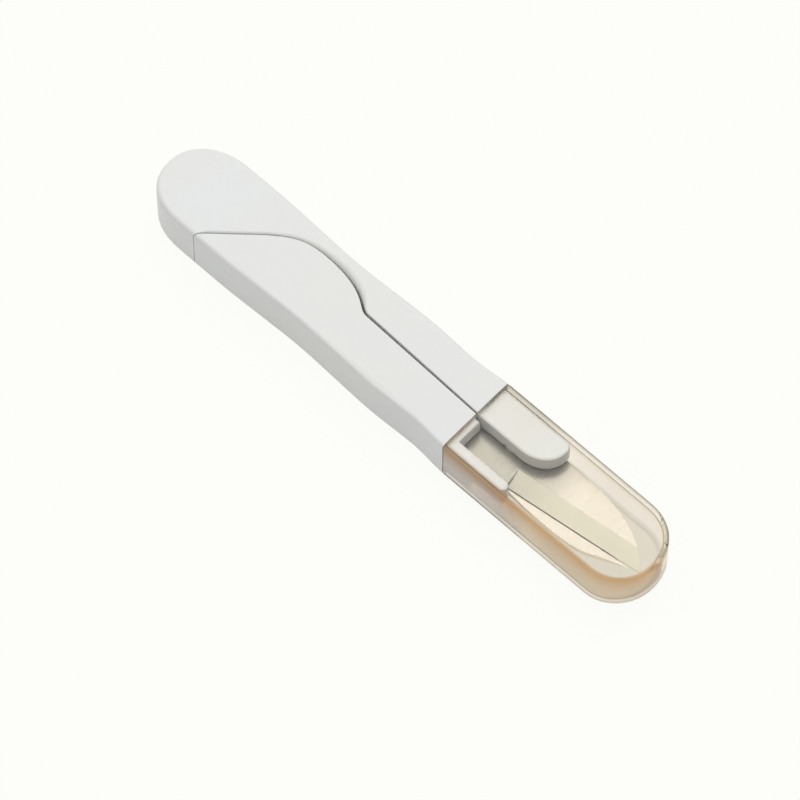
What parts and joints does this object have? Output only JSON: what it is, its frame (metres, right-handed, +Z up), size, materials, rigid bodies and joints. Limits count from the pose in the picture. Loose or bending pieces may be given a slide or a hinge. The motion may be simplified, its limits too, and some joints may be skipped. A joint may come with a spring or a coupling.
{
  "type": "capped pocket sewing scissors",
  "caption": "Slim pocket sewing scissors with sprung white handles split by an S-curve, riveted blades and a clear amber pull-off cap.",
  "frame": {"origin": "centre of the footprint of the closed, capped scissors, on the surface they lie on", "axes": "+X from the butt of the handles to the tip of the cap, +Y to the side of the main handle, +Z up out of the broad face"},
  "size_m": [0.132, 0.0194, 0.0132],
  "materials": {
    "handle_plastic": "white moulded plastic, satin gloss",
    "cover_plastic": "white moulded plastic, fine matt texture",
    "blade_steel": "ground stainless steel",
    "rivet_steel": "plain steel",
    "spring_steel": "drawn spring wire",
    "cap_plastic": "clear plastic with an amber tint"
  },
  "bodies": {
    "main": {"main_handle": "handle_plastic", "main_front_cover": "cover_plastic", "main_rear_cover": "cover_plastic", "main_blade": "blade_steel", "pivot_rivet": "rivet_steel", "rivet_washer": "rivet_steel", "opening_spring": "spring_steel"},
    "lever": {"lever_handle": "handle_plastic", "lever_cover": "cover_plastic", "lever_blade": "blade_steel"},
    "cap": {"cap": "cap_plastic"}
  },
  "joints": [
    {"name": "cap_pull", "type": "slide", "parent": "main", "child": "cap", "axis": [1, 0, 0], "range_m": [0, 0.13]},
    {"name": "handle_open", "type": "hinge", "parent": "main", "child": "lever", "pos_m": [0.0264, 0.0032, 0.0063], "axis": [0, 0, 1], "range_deg": [0, 24], "deforming": ["opening_spring"]}
  ],
  "couplings": [
    {"joint": "handle_open", "follows": "cap_pull", "rad_per_m": 3.222}
  ]
}
